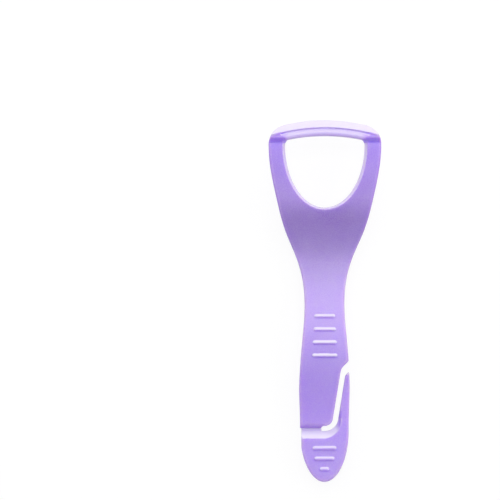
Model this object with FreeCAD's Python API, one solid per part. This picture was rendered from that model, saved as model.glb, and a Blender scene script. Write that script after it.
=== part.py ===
import FreeCAD, Part
import math
import os
from FreeCAD import Vector

# Millimetres and degrees. X runs across, Y from the tail to the head, Z up from the table.
# The front of the scraper, which meets the tongue, faces up.

# Overall form
overall_length = 145.0
head_width = 45.0
waist_width = 16.0
grip_width = 20.4
tail_width = 19.6
wall = 3.0
front_round = 0.8
back_round = 0.5
head_crown_radius = 69.0
head_corner_radius = 8.0

# Side profile: a hump under the grip ribs, a belly on the table, a lifted flat head
grip_hump = 3.6
head_lift = 6.5
flat_head_length = 30.5

# Places along the length, as shares of it from the tail
tail_share = 0.1414
hinge_share = 0.1441
widest_share = 0.2621
mouth_share = 0.3159
hump_share = 0.3759
waist_share = 0.4966
belly_share = 0.6103
grip_rib_shares = (0.3519, 0.4604)
thumb_rib_shares = (0.0938, 0.0358)

# Long edge between waist and head, as (share of the climb, share of the gain in width),
# and the share of the widening that is done half way from the waist to the widest place
shoulder_shape = ((0.68, 0.80), (0.45, 0.525), (0.30, 0.25), (0.15, 0.06))
flank_shape = 0.52

# Head window
bar_depth = 6.3
arm_width = 6.6
window_length = 28.5
window_corner_radius = 2.2
bevel_width = 1.0
bevel_depth = 1.7

# Scraping bar
crest_height = 2.5
crest_radius = 76.3
crest_setback = 2.75
crest_land = 0.3
lip_wall_run = 0.3
lip_end_run = 1.0
shoulder_drop = 0.4
bead_crown = 0.7
bead_overrun = 0.05
rim_height = 3.1
foot_from_top = 8.85
foot_run = 1.9
shoulder_round = 1.2

# Clip: slit, hinge web, groove and ramp
web_length = 1.1
web_thickness = 0.7
web_inset = 0.55
groove_land = 0.1
ramp_run = 2.8
ramp_side_run = 1.2
ramp_rise_length = 6.0
slit_width = 2.2
slit_end_x = -1.2
slit_foot = 0.25
slit_bend_radius = 3.3
slit_lean = 9.0
mouth_angle = 45.0
mouth_width = 3.4
mouth_bend_radius = 4.0
prong_bend_radius = 1.2

# Ribs: the grip's lengths are shares of the waist, the tab's are shares of the tail
rib_width = 1.5
rib_height = 0.6
grip_rib_count = 4
grip_rib_lengths = (0.631, 0.519)
thumb_rib_lengths = (0.500, 0.418, 0.194)

# How near a point counts as on a face, and how near two points count as one
near_face = 0.01
same_point = 0.000001


def y_at(share):
    return (share - 0.5) * overall_length


# Stations along the length
y_top = y_at(1.0)
y_tail = y_at(0.0)
y_waist = y_at(waist_share)
y_head = y_top - flat_head_length
y_foot = y_top - foot_from_top
y_grip_end = y_at(hinge_share) + web_length / 2
y_tab_edge = y_at(hinge_share) - web_length / 2
x_web = web_inset - tail_width / 2
far = 2 * overall_length

# Window's top, which is bowed round the same axis as the crest
y_window = y_top - bar_depth
r_window = crest_radius + crest_setback - bar_depth

# Levels in the head
z_head_back = head_lift
z_head_front = z_head_back + wall
z_crest = z_head_front + crest_height
z_shoulder = z_crest - shoulder_drop

# Back face of the frame in the side view, as (station, height); it eases from each to the next
spine = (
    (y_grip_end, 0.0),
    (y_at(hump_share), grip_hump),
    (y_at(belly_share), 0.0),
    (y_head, head_lift),
)


def flat_point(p):
    return Vector(p[0], p[1], 0)


def side_point(p):
    return Vector(0, p[0], p[1])


def section_point(p):
    return Vector(p[0], 0, p[1])


def mirrored(p):
    return Vector(-p.x, p.y, p.z)


def turned(length, angle):
    return Vector(length * math.cos(angle), length * math.sin(angle), 0)


def line_meet(p, u, q, v):
    """Point where the line through p along u meets the line through q along v."""
    spread = u[0] * v[1] - u[1] * v[0]
    t = ((q[0] - p[0]) * v[1] - (q[1] - p[1]) * v[0]) / spread
    return (p[0] + t * u[0], p[1] + t * u[1])


def between(p, q):
    return ((p[0] + q[0]) / 2, (p[1] + q[1]) / 2)


def rounded_polygon(corners, place):
    """Closed wire through (a, b, radius) corners; each corner is rounded by its own radius."""
    points = [Vector(a, b, 0) for a, b, _ in corners]
    runs = []
    for i, (_, _, radius) in enumerate(corners):
        here = points[i]
        if not radius:
            runs.append((here, here, here))
            continue
        back = (points[i - 1] - here).normalize()
        ahead = (points[(i + 1) % len(points)] - here).normalize()
        half = back.getAngle(ahead) / 2
        centre = here + (back + ahead).normalize() * (radius / math.sin(half))
        reach = radius / math.tan(half)
        middle = centre + (here - centre).normalize() * radius
        runs.append((here + back * reach, middle, here + ahead * reach))
    edges = []
    for i, (start, middle, end) in enumerate(runs):
        if corners[i][2]:
            edges.append(Part.Arc(place(start), place(middle), place(end)).toShape())
        following = runs[(i + 1) % len(runs)][0]
        if end.distanceToPoint(following) > same_point:
            edges.append(Part.makeLine(place(end), place(following)))
    return Part.Wire(edges)


def upright(wire, low, high):
    """Upright solid over a flat wire, between two levels."""
    solid = Part.Face(wire).extrude(Vector(0, 0, high - low))
    solid.translate(Vector(0, 0, low))
    return solid


def across(wire, left, right):
    """Solid made by running a side-view wire across, between two X positions."""
    solid = Part.Face(wire).extrude(Vector(right - left, 0, 0))
    solid.translate(Vector(left, 0, 0))
    return solid


def slice_y(shape, low, high):
    """The stretch of a shape between two stations along its length."""
    block = Part.makeBox(2 * far, high - low, 2 * far, Vector(-far, low, -far))
    return shape.common(block)


def main_solid(shape):
    """The largest solid of a shape, alone."""
    return max(shape.Solids, key=lambda s: s.Volume)


def crown(y_crown, radius, corner, half_width):
    """Bowed top with two rounded corners, from right to left, and the right corner's centre."""
    y_centre = y_crown - radius
    x = half_width - corner
    y = y_centre + math.sqrt((radius - corner) ** 2 - x ** 2)
    lean = math.atan2(x, y - y_centre)
    turn = (lean + math.pi / 2) / 2
    side = Vector(half_width, y, 0)
    bend = Vector(x + corner * math.sin(turn), y + corner * math.cos(turn), 0)
    top = Vector(radius * math.sin(lean), y_centre + radius * math.cos(lean), 0)
    edges = [
        Part.Arc(side, bend, top).toShape(),
        Part.Arc(top, Vector(0, y_crown, 0), mirrored(top)).toShape(),
        Part.Arc(mirrored(top), mirrored(bend), mirrored(side)).toShape(),
    ]
    return edges, (x, y)


def half_ellipse(y_centre, half_width, drop):
    """Rounded lower end, from the left side round to the right side."""
    centre = Vector(0, y_centre, 0)
    tip = Vector(0, y_centre - drop, 0)
    side = Vector(half_width, y_centre, 0)
    if drop > half_width:
        curve = Part.Ellipse(tip, side, centre)
        return Part.ArcOfEllipse(curve, -math.pi / 2, math.pi / 2).toShape()
    curve = Part.Ellipse(side, centre * 2 - tip, centre)
    return Part.ArcOfEllipse(curve, math.pi, 2 * math.pi).toShape()


def side_curve(side):
    """Long edge from the head corner in to the waist and out to the grip and tail."""
    half_head = head_width / 2
    half_waist = waist_width / 2
    half_grip = grip_width / 2
    y_corner = crown(y_top, head_crown_radius, head_corner_radius, half_head)[1][1]
    points = [(half_head, y_corner)]
    for climb, gain in shoulder_shape:
        x = half_waist + gain * (half_head - half_waist)
        points.append((x, y_waist + climb * (y_corner - y_waist)))
    y_widest = y_at(widest_share)
    points.append((half_waist, y_waist))
    points.append((half_waist + flank_shape * (half_grip - half_waist), (y_waist + y_widest) / 2))
    points.append((half_grip, y_widest))
    points.append((tail_width / 2, y_at(tail_share)))
    curve = Part.BSplineCurve()
    curve.interpolate(
        Points=[Vector(side * x, y, 0) for x, y in points],
        InitialTangent=Vector(0, -1, 0),
        FinalTangent=Vector(0, -1, 0),
    )
    return curve.toShape()


def outline():
    """Whole plan outline of the scraper."""
    top, _ = crown(y_top, head_crown_radius, head_corner_radius, head_width / 2)
    tail = half_ellipse(y_at(tail_share), tail_width / 2, y_at(tail_share) - y_tail)
    return Part.Wire(Part.__sortEdges__(top + [side_curve(-1), tail, side_curve(1)]))


def window(grow, level):
    """Outline of the head window at a level, grown outward by a margin."""
    half_width = head_width / 2 - arm_width
    corner = window_corner_radius + grow
    top, (_, y_corner) = crown(y_window + grow, r_window + grow, corner, half_width + grow)
    drop = y_corner - (y_window - window_length)
    bottom = half_ellipse(y_corner, half_width + grow, drop + grow)
    wire = Part.Wire(Part.__sortEdges__(top + [bottom]))
    wire.translate(Vector(0, 0, level))
    return wire


def cut_window(shape):
    """Cut the window through a shape and bevel its front edge; the bevel runs past both its ends."""
    shape = shape.cut(upright(window(0, 0), -wall, z_crest + wall))
    low = window(-bevel_width / 2, z_head_front - 1.5 * bevel_depth)
    high = window(1.5 * bevel_width, z_head_front + bevel_depth / 2)
    return shape.cut(Part.makeLoft([low, high], True, True))


def spine_level(y):
    """Height of the back face above the table at a station on the grip, throat or head."""
    for (y0, z0), (y1, z1) in zip(spine, spine[1:]):
        if y0 <= y <= y1:
            s = (y - y0) / (y1 - y0)
            return z0 + (z1 - z0) * s * s * (3 - 2 * s)
    return spine[0][1] if y < y_head else spine[-1][1]


def front_level(y):
    return spine_level(y) + wall


def spine_edges(lift):
    """Side-view curve of a face: flat tail end, hump, belly and flat head."""
    (y_first, z_first), (y_last, z_last) = spine[0], spine[-1]
    first = side_point((y_first, z_first + lift))
    last = side_point((y_last, z_last + lift))
    edges = [Part.makeLine(first - Vector(0, wall, 0), first)]
    for (y0, z0), (y1, z1) in zip(spine, spine[1:]):
        third = (y1 - y0) / 3
        poles = ((y0, z0), (y0 + third, z0), (y1 - third, z1), (y1, z1))
        bend = Part.BezierCurve()
        bend.setPoles([side_point((y, z + lift)) for y, z in poles])
        edges.append(bend.toShape())
    edges.append(Part.makeLine(last, Vector(0, y_top + wall, last.z)))
    return edges


def mid_point(edge):
    return edge.valueAt((edge.FirstParameter + edge.LastParameter) / 2)


def is_wall(face, point):
    """True where a face stands upright at one of its points."""
    u, v = face.Surface.parameter(point)
    return abs(face.normalAt(u, v).z) < 0.3


def soften(solid, level, radius, keep):
    """Round the edges that upright walls make with the face at level(y), where keep(point) is true."""
    rim = []
    for edge in solid.Edges:
        point = mid_point(edge)
        if abs(point.z - level(point.y)) > near_face or not keep(point):
            continue
        faces = solid.ancestorsOfType(edge, Part.Face)
        if len({is_wall(face, point) for face in faces}) == 2:
            rim.append(edge)
    return solid.makeFillet(radius, rim)


def frame_blank():
    """Handle, throat and head ring in one, before they are divided."""
    front = spine_edges(wall)
    back = spine_edges(0.0)
    tail_end = Part.makeLine(front[0].Vertexes[0].Point, back[0].Vertexes[0].Point)
    head_end = Part.makeLine(front[-1].Vertexes[-1].Point, back[-1].Vertexes[-1].Point)
    profile = Part.Wire(Part.__sortEdges__(front + back + [tail_end, head_end]))
    blank = across(profile, -head_width, head_width)
    blank = blank.common(upright(outline(), -wall, z_crest + wall))
    on_rim = lambda p: p.y > y_grip_end - 0.9 * wall
    blank = soften(blank, front_level, front_round, on_rim)
    return soften(cut_window(blank), spine_level, back_round, on_rim)


def slit_corners():
    """Corner points of the slit, on its handle side and on its tab and prong side, and its way out."""
    lean = math.radians(slit_lean)
    up = (math.sin(lean), math.cos(lean))
    y_upper = y_tab_edge + slit_width
    bend_reach = slit_bend_radius * math.tan((math.pi / 2 - lean) / 2)
    x_corner = slit_end_x + slit_width / 2 + slit_foot + bend_reach
    handle_corner = (x_corner, y_upper)
    beside = (x_corner + slit_width * up[1], y_upper - slit_width * up[0])
    tab_corner = line_meet(beside, up, (0, y_tab_edge), (1, 0))
    angle = math.radians(mouth_angle)
    out = (math.cos(angle), math.sin(angle))
    handle_mouth = line_meet(handle_corner, up, (0, y_at(mouth_share)), (1, 0))
    below = (handle_mouth[0] + mouth_width * out[1], handle_mouth[1] - mouth_width * out[0])
    prong_mouth = line_meet(beside, up, below, out)
    return handle_corner, tab_corner, handle_mouth, prong_mouth, out


def slit():
    """Through slit that frees the prong, with its round end and flared mouth."""
    handle_corner, tab_corner, handle_mouth, prong_mouth, out = slit_corners()
    end_round = 0.49 * slit_width
    away = lambda p: (p[0] + grip_width * out[0], p[1] + grip_width * out[1], 0)
    corners = [
        (slit_end_x, y_tab_edge, end_round),
        (slit_end_x, y_tab_edge + slit_width, end_round),
        (*handle_corner, slit_bend_radius),
        (*handle_mouth, mouth_bend_radius),
        away(handle_mouth),
        away(prong_mouth),
        (*prong_mouth, prong_bend_radius),
        (*tab_corner, slit_bend_radius + slit_width),
    ]
    return upright(rounded_polygon(corners, flat_point), -wall, z_crest + wall)


def handle_side(y_edge):
    """Everything on the handle's side of the slit's middle and of a hinge edge."""
    handle_corner, tab_corner, handle_mouth, prong_mouth, out = slit_corners()
    x_end = slit_end_x + slit_width / 2
    mouth = between(handle_mouth, prong_mouth)
    corners = [
        (-far, y_edge, 0),
        (x_end, y_edge, 0),
        (x_end, y_tab_edge + slit_width / 2, 0),
        (*between(handle_corner, tab_corner), slit_bend_radius + slit_width / 2),
        (*mouth, (mouth_bend_radius + prong_bend_radius) / 2),
        (mouth[0] + grip_width * out[0], mouth[1] + grip_width * out[1], 0),
        (far, far, 0),
        (-far, far, 0),
    ]
    return upright(rounded_polygon(corners, flat_point), -wall, z_crest + wall)


def grip_end_round():
    """Tool that rolls the end of the grip over into the hinge groove."""
    radius = wall - web_thickness - groove_land
    y_round = y_grip_end + radius
    z_round = front_level(y_round) - radius
    z_above = z_round + 3 * radius
    spread = radius * math.sqrt(0.5)
    roll = Part.Arc(
        side_point((y_grip_end, z_round)),
        side_point((y_round - spread, z_round + spread)),
        side_point((y_round, z_round + radius)),
    ).toShape()
    corners = [
        (y_round, z_round + radius),
        (y_round, z_above),
        (y_grip_end - web_length, z_above),
        (y_grip_end - web_length, z_round),
        (y_grip_end, z_round),
    ]
    edges = Part.makePolygon([side_point(p) for p in corners]).Edges
    return across(Part.Wire([roll] + edges), -grip_width, slit_end_x + slit_width / 2)


def make_grip(blank):
    grip = slice_y(blank, y_grip_end - wall, y_waist).common(handle_side(y_grip_end))
    return main_solid(grip.cut([slit(), grip_end_round()]))


def ring(section):
    """Ring turned about the upright axis that the crest is bowed around."""
    turned_ring = Part.Face(section).revolve(Vector(0, 0, 0), Vector(0, 0, 1), 360)
    turned_ring.translate(Vector(0, y_top - crest_setback - crest_radius, 0))
    return turned_ring


def lip_corners():
    """Section of the scraping lip, as (radius, height) from rim to crest, and its crease's radius."""
    rise = z_crest - z_head_back
    spread = crest_setback * rise / (rise - rim_height)
    corners = [
        (crest_radius + spread, z_head_back),
        (crest_radius, z_crest),
        (crest_radius - crest_land, z_crest),
    ]
    return corners, crest_radius - crest_land - lip_wall_run


def bar_end_section():
    """Lip with a level shoulder behind it."""
    lip, r_crease = lip_corners()
    r_inside = crest_radius / 2
    corners = [(r_inside, z_head_back)] + lip
    corners += [(r_crease, z_shoulder), (r_inside, z_shoulder), (r_inside, z_head_back)]
    return Part.makePolygon([section_point(p) for p in corners])


def bar_middle_section():
    """Lip with a gently rounded bead behind it, along the window's edge."""
    lip, r_crease = lip_corners()
    half_bead = (r_crease - r_window) / 2 + bead_overrun
    r_inside = r_crease - 2 * half_bead
    z_crease = z_shoulder - bead_crown
    corners = [(r_inside, z_crease), (r_inside, z_head_back)] + lip + [(r_crease, z_crease)]
    bead = Part.Arc(
        section_point((r_crease, z_crease)),
        section_point((r_crease - half_bead, z_shoulder)),
        section_point((r_inside, z_crease)),
    ).toShape()
    return Part.Wire(Part.makePolygon([section_point(p) for p in corners]).Edges + [bead])


def bar_mitre():
    """Room between the mitre planes that run out from the window's upper corners."""
    half_width = head_width / 2 - arm_width
    _, (x, y) = crown(y_window, r_window, window_corner_radius, half_width)
    reach = bar_depth + window_corner_radius
    corners = [(-x, y), (x, y), (x + reach, y + reach), (-x - reach, y + reach), (-x, y)]
    wire = Part.makePolygon([flat_point(p) for p in corners])
    return upright(wire, z_head_back - wall, z_crest + wall)


def bar_shoulder_tool():
    """Tool that slopes both ends of the bar down to the arms."""
    y_shoulder = y_foot + foot_run
    z_above = z_crest + wall
    corners = [
        (y_foot, z_head_front, 0),
        (y_shoulder, z_shoulder, shoulder_round),
        (y_shoulder + lip_end_run, z_shoulder, 0),
        (y_shoulder + lip_end_run, z_above, 0),
        (y_foot - wall, z_above, 0),
        (y_foot - wall, z_head_front, 0),
    ]
    return across(rounded_polygon(corners, side_point), -head_width, head_width)


def make_bar():
    """Raised bar: bowed lip in front, bead along the window, sloping shoulders on the arms."""
    blank = upright(outline(), z_head_back, z_crest)
    blank = blank.cut(upright(window(0, 0), -wall, z_crest + wall))
    blank = main_solid(slice_y(blank, y_foot, far))
    blank = soften(blank, lambda y: z_head_back, back_round, lambda p: p.y > y_foot + near_face)
    mitre = bar_mitre()
    middle = blank.common(mitre).common(ring(bar_middle_section()))
    ends = cut_window(blank.cut(mitre).common(ring(bar_end_section())))
    ends = ends.cut(bar_shoulder_tool())
    return main_solid(middle.fuse(ends).removeSplitter())


def ramp_outline(level, run, side_run):
    """Edge of the ramp at a level: straight behind the hinge, round the slit's bend, up the prong."""
    lean = math.radians(slit_lean)
    radius = slit_bend_radius + slit_width
    centre = Vector(slit_end_x + slit_width / 2 + slit_foot, y_tab_edge + radius, level)
    foot = centre - Vector(0, radius + run, 0)
    half_way = centre + turned(radius + (run + side_run) / 2, -(math.pi / 2 + lean) / 2)
    side = centre + turned(radius + side_run, -lean)
    rise = centre + turned(radius, -lean) + turned(ramp_rise_length, math.pi / 2 - lean)
    edges = [
        Part.Arc(foot, half_way, side).toShape(),
        Part.makeLine(side, rise),
        Part.makeLine(rise, Vector(-grip_width, rise.y, level)),
        Part.makeLine(Vector(-grip_width, rise.y, level), Vector(-grip_width, foot.y, level)),
        Part.makeLine(Vector(-grip_width, foot.y, level), foot),
    ]
    return Part.Wire(edges)


def make_lever():
    """Thumb tab and prong in one flat lever, before they are divided."""
    lever = slice_y(upright(outline(), 0, wall), y_tail - wall, y_waist)
    lever = lever.common(Part.makeBox(far, 2 * far, 2 * far, Vector(x_web, -far, -far)))
    on_rim = lambda p: p.y < y_waist - near_face
    lever = soften(lever, lambda y: wall, front_round, on_rim)
    lever = soften(lever, lambda y: 0.0, back_round, on_rim)
    lever = main_solid(lever.cut([handle_side(y_tab_edge), slit()]))
    low = ramp_outline(web_thickness, 0.0, 0.0)
    high = ramp_outline(wall, ramp_run, ramp_side_run)
    return main_solid(lever.cut(Part.makeLoft([low, high], True, True)))


def make_web(grip, tab):
    """Thinned web that joins grip and tab and bends as the hinge."""
    width = slit_end_x + slit_width / 2 - x_web
    web = Part.makeBox(width, web_length, web_thickness, Vector(x_web, y_tab_edge, 0))
    return main_solid(web.cut([slit(), grip, tab]))


def make_rib(length, y, level, under):
    """Round-ended rib across a face, of which the part above the piece under it is kept."""
    radius = (rib_width ** 2 / 4 + rib_height ** 2) / (2 * rib_height)
    half = length / 2 - radius
    tip = Vector(half + radius, 0, 0)
    bend = Vector(half, 0, 0) + turned(radius, math.pi / 4)
    top = Vector(half, radius, 0)
    edges = [
        Part.makeLine(mirrored(tip), tip),
        Part.Arc(tip, bend, top).toShape(),
        Part.makeLine(top, mirrored(top)),
        Part.Arc(mirrored(top), mirrored(bend), mirrored(tip)).toShape(),
    ]
    rib = Part.Face(Part.Wire(edges)).revolve(Vector(0, 0, 0), Vector(1, 0, 0), 360)
    rib.translate(Vector(0, y, level + rib_height - radius))
    return main_solid(rib.cut(under))


def make_grip_ribs(grip):
    ribs = []
    for i in range(grip_rib_count):
        s = i / (grip_rib_count - 1)
        y = y_at(grip_rib_shares[0] + s * (grip_rib_shares[1] - grip_rib_shares[0]))
        length = grip_rib_lengths[0] + s * (grip_rib_lengths[1] - grip_rib_lengths[0])
        ribs.append(make_rib(length * waist_width, y, front_level(y), grip))
    return Part.makeCompound(ribs)


def make_thumb_ribs(tab):
    ribs = []
    for i, length in enumerate(thumb_rib_lengths):
        s = i / (len(thumb_rib_lengths) - 1)
        y = y_at(thumb_rib_shares[0] + s * (thumb_rib_shares[1] - thumb_rib_shares[0]))
        ribs.append(make_rib(length * tail_width, y, wall, tab))
    return Part.makeCompound(ribs)


def build():
    blank = frame_blank()
    arms = slice_y(blank, y_head, y_foot)
    lever = make_lever()
    y_root = y_tab_edge + slit_bend_radius + slit_width
    grip = make_grip(blank)
    tab = main_solid(slice_y(lever, y_tail - wall, y_root))
    return {
        "scraping_bar": make_bar(),
        "left_arm": min(arms.Solids, key=lambda s: s.CenterOfMass.x),
        "right_arm": max(arms.Solids, key=lambda s: s.CenterOfMass.x),
        "throat": main_solid(slice_y(blank, y_waist, y_head)),
        "grip": grip,
        "grip_ribs": make_grip_ribs(grip),
        "living_hinge": make_web(grip, tab),
        "thumb_tab": tab,
        "clip_prong": main_solid(slice_y(lever, y_root, far)),
        "thumb_ribs": make_thumb_ribs(tab),
    }


os.makedirs("parts", exist_ok=True)
for name, shape in build().items():
    shape.exportStep("parts/" + name + ".step")
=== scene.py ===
import math

import bmesh
import bpy
import numpy as np
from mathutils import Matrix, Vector
from mathutils.bvhtree import BVHTree


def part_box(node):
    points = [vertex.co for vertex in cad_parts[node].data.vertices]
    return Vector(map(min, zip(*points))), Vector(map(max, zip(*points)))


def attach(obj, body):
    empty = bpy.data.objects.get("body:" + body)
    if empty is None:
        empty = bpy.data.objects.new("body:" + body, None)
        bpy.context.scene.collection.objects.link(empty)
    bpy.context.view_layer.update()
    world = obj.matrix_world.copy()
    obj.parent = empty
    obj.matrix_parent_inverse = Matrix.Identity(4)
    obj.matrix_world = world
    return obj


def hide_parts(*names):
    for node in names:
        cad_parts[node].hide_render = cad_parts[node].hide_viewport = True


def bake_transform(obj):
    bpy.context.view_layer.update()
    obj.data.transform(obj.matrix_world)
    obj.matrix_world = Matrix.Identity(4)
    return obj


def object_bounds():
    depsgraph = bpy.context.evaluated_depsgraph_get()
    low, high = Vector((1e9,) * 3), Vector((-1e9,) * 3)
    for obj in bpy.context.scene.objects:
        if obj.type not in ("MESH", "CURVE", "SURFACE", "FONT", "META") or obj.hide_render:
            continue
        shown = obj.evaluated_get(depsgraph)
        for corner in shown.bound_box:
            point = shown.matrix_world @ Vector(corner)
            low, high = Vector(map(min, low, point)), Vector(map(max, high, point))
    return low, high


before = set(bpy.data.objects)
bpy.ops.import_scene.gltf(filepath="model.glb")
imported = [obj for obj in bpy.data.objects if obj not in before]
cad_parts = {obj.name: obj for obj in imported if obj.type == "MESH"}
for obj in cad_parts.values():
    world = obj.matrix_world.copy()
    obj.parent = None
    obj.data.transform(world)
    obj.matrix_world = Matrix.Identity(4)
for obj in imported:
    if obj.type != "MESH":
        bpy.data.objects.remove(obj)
cad_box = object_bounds()

# Metres, degrees and linear colour. The scraper lies on its back and the camera looks straight down.

MM = 0.001

# Photograph's frame: 500 pixels show this much of the table, centred here
VIEW_WIDTH = 200 * MM
VIEW_CENTRE = (-29.9 * MM, 20.75 * MM)
LENS = 160.0
SENSOR = 36.0

# Skins: the CAD nodes of a body flow into one moulded surface
FRAME_NODES = ("scraping_bar", "left_arm", "right_arm", "throat", "grip", "grip_ribs")
CLIP_NODES = ("thumb_tab", "clip_prong", "thumb_ribs")
SKIN_VOXEL = 0.2 * MM
SKIN_TRIANGLES = 180000
SMOOTH_FACTOR = 0.5
SMOOTH_STEPS = 4
# Below this station the frame is smoothed further, for the slanting edge of the slit
SLIT_TOP = -23 * MM
SLIT_SMOOTH_STEPS = 8

# Hinge web: it reaches into both bodies, so that it stays joined when it bends
WEB_REACH = 0.4 * MM
WEB_VOXEL = 0.1 * MM

# Painted shade and sheen along the length, from the tail to the head, as (station in mm, colour): the
# throat, which leans from the light, is painted darker, and the waist and head end are painted paler
PAINTED_SHADE_AND_SHEEN = (
    (-60, (0.455, 0.285, 0.91)),
    (-44, (0.445, 0.268, 0.90)),
    (-30, (0.425, 0.265, 0.835)),
    (-5, (0.495, 0.33, 0.845)),
    (9, (0.445, 0.305, 0.765)),
    (30, (0.31, 0.172, 0.605)),
    (38, (0.315, 0.172, 0.62)),
    (54, (0.335, 0.172, 0.715)),
    (61, (0.375, 0.212, 0.79)),
    (66, (0.47, 0.28, 0.98)),
)
LILAC_FLECK = (0.85, 0.82, 0.92)
# Pale colour for thin plastic and for painted sheen, glow and highlights
LILAC_THIN_AND_PAINTED_SHEEN = (0.82, 0.77, 0.95)
# Painted highlight on edges and ridges
LILAC_EDGE_HIGHLIGHT = (0.77, 0.72, 0.92)
# Painted shade for slopes turned from the light
LILAC_PAINTED_SHADE = (0.385, 0.2, 0.98)

# Marks at which a colour starts to show and shows fully
THIN_AND_SHEEN_SHOWS = (0.9, 0.2)
EDGE_HIGHLIGHT_SHOWS = (0.05, 0.42)
PAINTED_SHADE_SHOWS = (1, 2)

# Plastic's surface: broad flow marks, a fine grain, gloss and scattered light
FLOW_PER_METRE = 60
FLOW_FLECK = 0.06
GRAIN_PER_METRE = 2500
GRAIN_FLECK = 0.12
GRAIN_BUMP = 0.5
GRAIN_HEIGHT = 0.035 * MM
NOISE_DETAIL = 3
FLECK_NOISE = (0.35, 0.65)
ROUGHNESS_NOISE = (0.3, 0.7)
ROUGHNESS = (0.34, 0.46)
IOR = 1.49
COAT = 0.4
COAT_ROUGHNESS = 0.24
SCATTER_MM = (3.5, 2.4, 4.8)
SCATTER_DEPTH = (0.55, 0.85)
SCATTER_WEIGHT = (0.1, 1)

# Depth of plastic under the surface: where there is less of it, the plastic is painted paler, partly the
# paler look of thin plastic and partly a painted glow of light shining through it. The same mark carries
# the painted sheen, glow and highlights set below
FULL_DEPTH = 3.6 * MM
DEPTH_TILT = 40
# Probes for the painted edge highlights
RIDGE_WIDTH = 0.9 * MM
RIDGE_TILT = 70
PROBES = 6
PROBE_START = 0.01 * MM
BLUR_STEPS = 3
WEB_DEPTH = 0.55
# Painted glow: where the bar spans the window it is painted pale, as if light shone through it, and its
# crown is paler than the side to the window, which is turned from the light
BLADE_HALF_WIDTH = 14.5 * MM
BLADE_FADE = 3.0 * MM
BLADE_PAINTED_GLOW = 0.48
BLADE_BACK = 0.35
BLADE_BACK_LEAN = (0, 0.4)
# Painted sheen: slopes on these nodes that face the head end, towards the key lamps, are painted pale
PAINTED_SHEEN_NODES = ("scraping_bar", "thumb_tab")
PAINTED_SHEEN_LEAN = (0.25, 0.5)
PAINTED_SHEEN_SLOPE = 0.28
# Painted shade: slopes on these nodes that face this way, from the light, are painted a deeper colour
PAINTED_SHADE_SIDES = {"grip": (0, -1, 0), "scraping_bar": (0, -1, 0), "clip_prong": (-1, 0, 0)}
LEE_LEAN = (0.25, 0.9)
LEE_EDGE = 0.15
LEE_UP = (0.0, 0.3)
LEE_END = (65.5 * MM, 66.5 * MM)
# The prong is not painted paler for being narrow, and both edges of the slit get less painted edge
# highlight than others
PRONG_DEPTH = 0.9
SLIT_RIDGE = 0.25
# Painted highlight on the crowns of the ribs: the depth mark there, and the least lean to the head end that
# still counts as crown
RIB_CROWN_HIGHLIGHTS = {"grip_ribs": (0.28, -0.15), "thumb_ribs": (0.42, 0.12)}
RIB_REACH = 0.12 * MM
# Painted edge highlights fade towards the head, where only the bevel round the window keeps one
HEAD_FADE = (20 * MM, 40 * MM)
HEAD_RIDGE = 0.25
RIM_NODES = ("left_arm", "right_arm", "throat")
RIM_CENTRE = Vector((0, 53 * MM))
RIM_BOTTOM = 35 * MM
RIM_LEAN = 0.3
RIM_UP = (0.25, 0.9)
RIM_RIDGE = 0.32

# Lamps: azimuth from +X, elevation, width, height, distance and share of plain light
LAMPS = {
    "key": (90, 30, 1.4, 0.7, 0.9, 0.50),
    "key_high": (90, 65, 0.9, 0.3, 0.9, 0.28),
    "top": (0, 90, 0.6, 0.6, 0.9, 0.13),
    "left": (180, 30, 1.0, 0.6, 0.9, 0.21),
    "right": (0, 30, 1.0, 0.6, 0.9, 0.36),
}
AMBIENT = 0.22
WHITE = 1.0

# Floor: room under the tail and the prong, which go below the part's lowest point at the clip's limits
FLOOR_SIZE = 6.0
FLOOR_LEVEL = -4.5 * MM
# As seen it glows and is lit besides, to just white; light that falls on the object bounces off it more
FLOOR_GLOW = 0.9
FLOOR_ALBEDO = 0.12
FLOOR_BOUNCE = 0.85


def joined(name, nodes):
    """New object that holds copies of the meshes of several CAD nodes."""
    shape = bmesh.new()
    for node in nodes:
        shape.from_mesh(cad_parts[node].data)
    mesh = bpy.data.meshes.new(name)
    shape.to_mesh(mesh)
    shape.free()
    obj = bpy.data.objects.new(name, mesh)
    bpy.context.scene.collection.objects.link(obj)
    return obj


def settle(obj):
    """Put the modifiers' result into the mesh and remove them."""
    graph = bpy.context.evaluated_depsgraph_get()
    mesh = bpy.data.meshes.new_from_object(obj.evaluated_get(graph))
    obj.modifiers.clear()
    obj.data = mesh


def smooth_slit(obj):
    """Even out the steps of the melt along the slit's slanting edge."""
    shape = bmesh.new()
    shape.from_mesh(obj.data)
    slit_side = [vertex for vertex in shape.verts if vertex.co.y < SLIT_TOP]
    for step in range(SLIT_SMOOTH_STEPS):
        bmesh.ops.smooth_vert(
            shape, verts=slit_side, factor=SMOOTH_FACTOR, use_axis_x=True, use_axis_y=True, use_axis_z=True
        )
    shape.to_mesh(obj.data)
    shape.free()


def flow_together(obj, voxel, slit_edge=False):
    """Melt touching solids into one surface with softened creases, within a count of triangles."""
    melt = obj.modifiers.new("melt", "REMESH")
    melt.mode = "VOXEL"
    melt.voxel_size = voxel
    soften = obj.modifiers.new("soften", "SMOOTH")
    soften.factor = SMOOTH_FACTOR
    soften.iterations = SMOOTH_STEPS
    settle(obj)
    if slit_edge:
        smooth_slit(obj)
    triangles = 2 * len(obj.data.polygons)
    if triangles > SKIN_TRIANGLES:
        thin = obj.modifiers.new("thin", "DECIMATE")
        thin.ratio = SKIN_TRIANGLES / triangles
        settle(obj)
    obj.data.polygons.foreach_set("use_smooth", [True] * len(obj.data.polygons))


def surface(mesh):
    """Search tree over the faces of a mesh."""
    return BVHTree.FromPolygons([v.co for v in mesh.vertices], [p.vertices for p in mesh.polygons])


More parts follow.
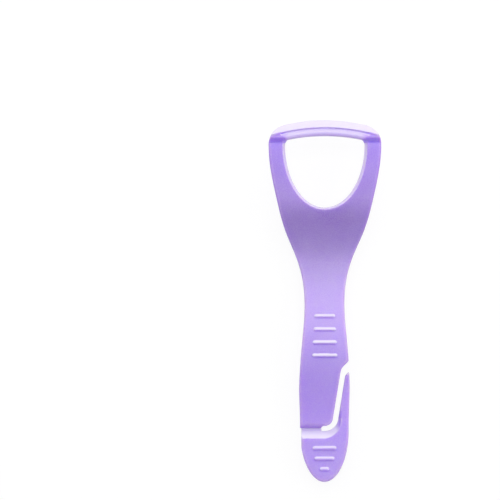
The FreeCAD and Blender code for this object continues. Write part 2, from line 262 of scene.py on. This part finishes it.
def near(nodes, vertex, reach=SKIN_VOXEL):
    """Whether a vertex lies on one of these CAD nodes."""
    return any(node_surfaces[node].find_nearest(vertex.co, reach)[0] is not None for node in nodes)


def share_between(value, low, high):
    """0 up to the low value, 1 from the high one, and in line between them."""
    return min(max((value - low) / (high - low), 0), 1)


def free_share(solid, vertex, tilt, length):
    """Mean free way inside the plastic under a vertex, over a ring of probes, as a share of a length."""
    inward = -vertex.normal
    side = inward.orthogonal().normalized()
    other = inward.cross(side)
    start = vertex.co + PROBE_START * inward
    a = math.radians(tilt)
    total = 0.0
    for k in range(PROBES):
        t = 2 * math.pi * k / PROBES
        way = math.cos(a) * inward + math.sin(a) * (math.cos(t) * side + math.sin(t) * other)
        reach = solid.ray_cast(start, way, length)[3]
        total += 1.0 if reach is None else reach / length
    return total / PROBES


def blade_share(vertex):
    """1 where the bar spans the window, fading to 0 at its ends, and 0 off the bar."""
    if not near(["scraping_bar"], vertex):
        return 0
    return 1 - share_between(abs(vertex.co.x), BLADE_HALF_WIDTH, BLADE_HALF_WIDTH + BLADE_FADE)


def depth_with_painted_light(solid, vertex, blade):
    """Depth of plastic under a vertex as a share of the full depth, lowered for a painted glow on the bar,
    painted sheen on slopes and painted highlights on rib crowns.
    """
    normal = vertex.normal
    depth_and_painted_light = free_share(solid, vertex, DEPTH_TILT, FULL_DEPTH)
    # Painted glow where the bar spans the window, less on its side turned from the light
    back = BLADE_BACK * share_between(-normal.y, *BLADE_BACK_LEAN)
    depth_and_painted_light = min(depth_and_painted_light, 1 + (BLADE_PAINTED_GLOW - 1) * min(blade, 1 - back))
    # Painted sheen on slopes that face the head end
    lean = share_between(normal.y, *PAINTED_SHEEN_LEAN)
    if lean > 0 and near(PAINTED_SHEEN_NODES, vertex):
        depth_and_painted_light = min(depth_and_painted_light, 1 + (PAINTED_SHEEN_SLOPE - 1) * lean)
    if near(["clip_prong"], vertex):
        depth_and_painted_light = max(depth_and_painted_light, PRONG_DEPTH)
    # Painted highlight on the rib crowns
    for rib, (crown, least_lean) in RIB_CROWN_HIGHLIGHTS.items():
        if normal.y > least_lean and near([rib], vertex, RIB_REACH):
            depth_and_painted_light = min(depth_and_painted_light, crown)
    return depth_and_painted_light


def on_slit_edge(vertex):
    """Whether a vertex is on the part of the grip beside the slit or on the prong's side to it."""
    beside = vertex.co.x > 0 and vertex.co.y < SLIT_TOP and near(["grip"], vertex)
    return beside or (vertex.normal.x < 0 and near(["clip_prong"], vertex))


def on_window_bevel(vertex):
    """Whether a vertex is on the bevel that leans into the window."""
    place, normal = vertex.co, vertex.normal
    inward = (RIM_CENTRE - place.xy).normalized()
    leans_in = normal.xy.dot(inward) > RIM_LEAN and RIM_UP[0] < normal.z < RIM_UP[1]
    return leans_in and place.y > RIM_BOTTOM and near(RIM_NODES, vertex)


def painted_edge_highlight_at(solid, vertex):
    """How much painted highlight a vertex gets on a ridge or edge."""
    painted_edge_highlight = 1 - free_share(solid, vertex, RIDGE_TILT, RIDGE_WIDTH)
    painted_edge_highlight *= 1 + (HEAD_RIDGE - 1) * share_between(vertex.co.y, *HEAD_FADE)
    if on_slit_edge(vertex):
        painted_edge_highlight *= SLIT_RIDGE
    if on_window_bevel(vertex):
        painted_edge_highlight = max(painted_edge_highlight, RIM_RIDGE)
    return painted_edge_highlight


def painted_shade_turns(vertex):
    """How far a vertex is turned from the light, on each node with a side painted in shade that it lies on.
    """
    place, normal = vertex.co, vertex.normal
    upward = share_between(normal.z, *LEE_UP) * (1 - share_between(place.y, *LEE_END))
    turns = {node: normal.dot(Vector(way)) * upward for node, way in PAINTED_SHADE_SIDES.items()}
    return [turn for node, turn in turns.items() if turn > LEE_EDGE and near([node], vertex)]


def blurred(mesh, values):
    """Values at the vertices, evened out along the edges of the mesh."""
    ends = np.empty(2 * len(mesh.edges), dtype=np.int32)
    mesh.edges.foreach_get("vertices", ends)
    here = np.concatenate([ends[0::2], ends[1::2]])
    there = np.concatenate([ends[1::2], ends[0::2]])
    count = np.bincount(here, minlength=len(values))
    values = np.array(values)
    for step in range(BLUR_STEPS):
        values = (values + np.bincount(here, values[there], len(values)) / count) / 2
    return values


def mark_depth_and_painted_light(obj, least=0.0):
    """Note at each vertex how much plastic lies under it, with painted sheen, glow and shade folded in, and
    how much painted edge highlight it has.
    """
    mesh = obj.data
    solid = surface(mesh)
    marks = {"depth_and_painted_light": [], "painted_edge_highlight": []}
    for vertex in mesh.vertices:
        blade = blade_share(vertex)
        depth_and_painted_light = depth_with_painted_light(solid, vertex, blade)
        painted_edge_highlight = painted_edge_highlight_at(solid, vertex)
        # Slopes turned from the light get painted shade: a deeper colour and no painted edge highlight
        if blade < 1:
            for turn in painted_shade_turns(vertex):
                lee = share_between(turn, LEE_EDGE, LEE_LEAN[0])
                deep = 1 + share_between(turn, *LEE_LEAN)
                painted_edge_highlight *= 1 - lee
                depth_and_painted_light += (deep - depth_and_painted_light) * lee * (1 - blade)
        marks["depth_and_painted_light"].append(max(depth_and_painted_light, least))
        marks["painted_edge_highlight"].append(painted_edge_highlight)
    for name, values in marks.items():
        mesh.attributes.new(name, "FLOAT", "POINT").data.foreach_set("value", blurred(mesh, values))


def dress(piece, nodes, material):
    """Give a piece its plastic, and let it stand for its CAD nodes."""
    piece.data.materials.clear()
    piece.data.materials.append(material)
    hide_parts(*nodes)


def make_skin(name, body, nodes, material, slit_edge=False):
    """Moulded surface of one body."""
    skin = joined(name, nodes)
    flow_together(skin, SKIN_VOXEL, slit_edge)
    mark_depth_and_painted_light(skin)
    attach(skin, body)
    dress(skin, nodes, material)


def make_web(material):
    """Hinge web with ends that reach into the grip and the tab."""
    low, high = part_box("living_hinge")
    centre = (low + high) / 2
    web = joined("hinge_web", ["living_hinge"])
    for vertex in web.data.vertices:
        vertex.co.y += math.copysign(WEB_REACH, vertex.co.y - centre.y)
    flow_together(web, WEB_VOXEL)
    mark_depth_and_painted_light(web, WEB_DEPTH)
    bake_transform(web)
    dress(web, ["living_hinge"], material)


def shader_node(tree, kind, **values):
    """New node of a material or world, with some of its settings."""
    made = tree.nodes.new(kind)
    for name, value in values.items():
        setattr(made, name, value)
    return made


def noise(tree, where, features_per_metre):
    """Noise of about this many features to the metre."""
    made = shader_node(tree, "ShaderNodeTexNoise")
    made.inputs["Scale"].default_value = features_per_metre
    made.inputs["Detail"].default_value = NOISE_DETAIL
    tree.links.new(where, made.inputs["Vector"])
    return made.outputs["Fac"]


def graded(tree, value, between, to=(0, 1)):
    """Value taken from one range to another and held at its ends."""
    made = shader_node(tree, "ShaderNodeMapRange", clamp=True)
    made.inputs["From Min"].default_value, made.inputs["From Max"].default_value = between
    made.inputs["To Min"].default_value, made.inputs["To Max"].default_value = to
    tree.links.new(value, made.inputs["Value"])
    return made.outputs["Result"]


def mixed(tree, share, base, added):
    """Colour between a colour output and a colour. The Mix node has its colours at 6, 7 and output 2."""
    made = shader_node(tree, "ShaderNodeMix", data_type="RGBA")
    tree.links.new(share, made.inputs[0])
    tree.links.new(base, made.inputs[6])
    made.inputs[7].default_value = (*added, 1)
    return made.outputs[2]


def painted_shade_and_sheen_along(tree, where):
    """Painted shade and sheen that follow the length of the scraper."""
    along = shader_node(tree, "ShaderNodeSeparateXYZ")
    tree.links.new(where, along.inputs[0])
    low, high = PAINTED_SHADE_AND_SHEEN[0][0], PAINTED_SHADE_AND_SHEEN[-1][0]
    station = graded(tree, along.outputs["Y"], (low * MM, high * MM))
    ramp = shader_node(tree, "ShaderNodeValToRGB")
    ramp.color_ramp.interpolation = "CARDINAL"
    stops = ramp.color_ramp.elements
    while len(stops) < len(PAINTED_SHADE_AND_SHEEN):
        stops.new(0.5)
    for stop, (y, shade) in zip(stops, PAINTED_SHADE_AND_SHEEN):
        stop.position = (y - low) / (high - low)
        stop.color = (*shade, 1)
    tree.links.new(station, ramp.inputs["Fac"])
    return ramp.outputs["Color"]


def moulded_plastic():
    """Satin translucent lilac plastic with a fine grain, with painted shade and sheen along its length,
    painted paler where it is thin, with painted sheen, glow and edge highlights, and painted shade on
    slopes turned from the light.
    """
    material = bpy.data.materials.new("moulded_plastic")
    material.use_nodes = True
    tree = material.node_tree
    shader = tree.nodes["Principled BSDF"]
    where = shader_node(tree, "ShaderNodeTexCoord").outputs["Object"]
    depth_and_painted_light = shader_node(tree, "ShaderNodeAttribute", attribute_name="depth_and_painted_light").outputs["Fac"]
    painted_edge_highlight = shader_node(tree, "ShaderNodeAttribute", attribute_name="painted_edge_highlight").outputs["Fac"]
    flow = noise(tree, where, FLOW_PER_METRE)
    grain = noise(tree, where, GRAIN_PER_METRE)

    colour = painted_shade_and_sheen_along(tree, where)
    colour = mixed(tree, graded(tree, flow, FLECK_NOISE, (0, FLOW_FLECK)), colour, LILAC_FLECK)
    colour = mixed(tree, graded(tree, depth_and_painted_light, PAINTED_SHADE_SHOWS), colour, LILAC_PAINTED_SHADE)
    colour = mixed(tree, graded(tree, depth_and_painted_light, THIN_AND_SHEEN_SHOWS), colour, LILAC_THIN_AND_PAINTED_SHEEN)
    colour = mixed(tree, graded(tree, painted_edge_highlight, EDGE_HIGHLIGHT_SHOWS), colour, LILAC_EDGE_HIGHLIGHT)
    colour = mixed(tree, graded(tree, grain, FLECK_NOISE, (0, GRAIN_FLECK)), colour, LILAC_FLECK)
    tree.links.new(colour, shader.inputs["Base Color"])

    tree.links.new(graded(tree, grain, ROUGHNESS_NOISE, ROUGHNESS), shader.inputs["Roughness"])
    bump = shader_node(tree, "ShaderNodeBump")
    bump.inputs["Strength"].default_value = GRAIN_BUMP
    bump.inputs["Distance"].default_value = GRAIN_HEIGHT
    tree.links.new(grain, bump.inputs["Height"])
    tree.links.new(bump.outputs["Normal"], shader.inputs["Normal"])

    shader.inputs["IOR"].default_value = IOR
    shader.inputs["Coat Weight"].default_value = COAT
    shader.inputs["Coat Roughness"].default_value = COAT_ROUGHNESS
    tree.links.new(graded(tree, depth_and_painted_light, SCATTER_DEPTH, SCATTER_WEIGHT), shader.inputs["Subsurface Weight"])
    shader.inputs["Subsurface Radius"].default_value = SCATTER_MM
    shader.inputs["Subsurface Scale"].default_value = MM
    return material


def seen_directly(tree):
    """1 for rays from the camera, off gloss or through glass, and 0 for light that falls on the object."""
    path = shader_node(tree, "ShaderNodeLightPath")
    share = path.outputs["Is Camera Ray"]
    for name in ("Is Glossy Ray", "Is Transmission Ray"):
        most = shader_node(tree, "ShaderNodeMath", operation="MAXIMUM")
        tree.links.new(share, most.inputs[0])
        tree.links.new(path.outputs[name], most.inputs[1])
        share = most.outputs[0]
    return share


def show_apart(tree, unseen, seen, output):
    """Use one shader for light that falls on the object and another for what is seen."""
    both = shader_node(tree, "ShaderNodeMixShader")
    tree.links.new(seen_directly(tree), both.inputs[0])
    tree.links.new(unseen.outputs[0], both.inputs[1])
    tree.links.new(seen.outputs[0], both.inputs[2])
    tree.links.new(both.outputs[0], shader_node(tree, output).inputs["Surface"])


def matt(tree, albedo):
    """Matt grey or white surface."""
    made = shader_node(tree, "ShaderNodeBsdfDiffuse")
    made.inputs["Color"].default_value = (albedo, albedo, albedo, 1)
    return made


def white_light(tree, kind, strength):
    """White emission or background."""
    made = shader_node(tree, kind)
    made.inputs["Color"].default_value = (1, 1, 1, 1)
    made.inputs["Strength"].default_value = strength
    return made


def make_floor():
    """White table that shows as white and keeps the object's shadow."""
    mesh = bpy.data.meshes.new("floor")
    half = FLOOR_SIZE / 2
    corners = [(x, y, FLOOR_LEVEL) for x, y in ((-half, -half), (half, -half), (half, half), (-half, half))]
    mesh.from_pydata(corners, [], [(0, 1, 2, 3)])
    floor = bpy.data.objects.new("floor", mesh)
    bpy.context.scene.collection.objects.link(floor)
    material = bpy.data.materials.new("white_table")
    material.use_nodes = True
    tree = material.node_tree
    tree.nodes.clear()
    seen = shader_node(tree, "ShaderNodeAddShader")
    tree.links.new(matt(tree, FLOOR_ALBEDO).outputs[0], seen.inputs[0])
    tree.links.new(white_light(tree, "ShaderNodeEmission", FLOOR_GLOW).outputs[0], seen.inputs[1])
    show_apart(tree, matt(tree, FLOOR_BOUNCE), seen, "ShaderNodeOutputMaterial")
    mesh.materials.append(material)


def make_world():
    """Even light from all round, which shows as white."""
    world = bpy.data.worlds.new("studio")
    world.use_nodes = True
    tree = world.node_tree
    tree.nodes.clear()
    light = white_light(tree, "ShaderNodeBackground", AMBIENT)
    white = white_light(tree, "ShaderNodeBackground", WHITE)
    show_apart(tree, light, white, "ShaderNodeOutputWorld")
    bpy.context.scene.world = world


def make_lamps(target):
    """Soft boxes round the object; a share of 1 gives plain light on a face turned to the lamp."""
    for name, (azimuth, elevation, width, height, distance, share) in LAMPS.items():
        lamp = bpy.data.lights.new(name, "AREA")
        lamp.shape = "RECTANGLE"
        lamp.size = width
        lamp.size_y = height
        lamp.energy = share * math.pi ** 2 * distance ** 2
        a, e = math.radians(azimuth), math.radians(elevation)
        way = Vector((math.cos(a) * math.cos(e), math.sin(a) * math.cos(e), math.sin(e)))
        obj = bpy.data.objects.new(name, lamp)
        obj.location = target + way * distance
        obj.rotation_euler = way.to_track_quat("Z", "Y").to_euler()
        bpy.context.scene.collection.objects.link(obj)


def make_camera(level):
    """Camera straight above the photograph's centre."""
    data = bpy.data.cameras.new("camera")
    data.lens = LENS
    data.sensor_width = SENSOR
    camera = bpy.data.objects.new("camera", data)
    camera.location = (*VIEW_CENTRE, level + VIEW_WIDTH * LENS / SENSOR)
    bpy.context.scene.collection.objects.link(camera)
    bpy.context.scene.camera = camera


node_surfaces = {name: surface(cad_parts[name].data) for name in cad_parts}

plastic = moulded_plastic()
make_skin("frame_skin", "frame", FRAME_NODES, plastic, slit_edge=True)
make_skin("clip_skin", "clip", CLIP_NODES, plastic)
make_web(plastic)

make_floor()
make_world()
make_lamps((cad_box[0] + cad_box[1]) / 2)
make_camera(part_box("grip")[1].z)
bpy.context.scene.view_settings.view_transform = "Standard"
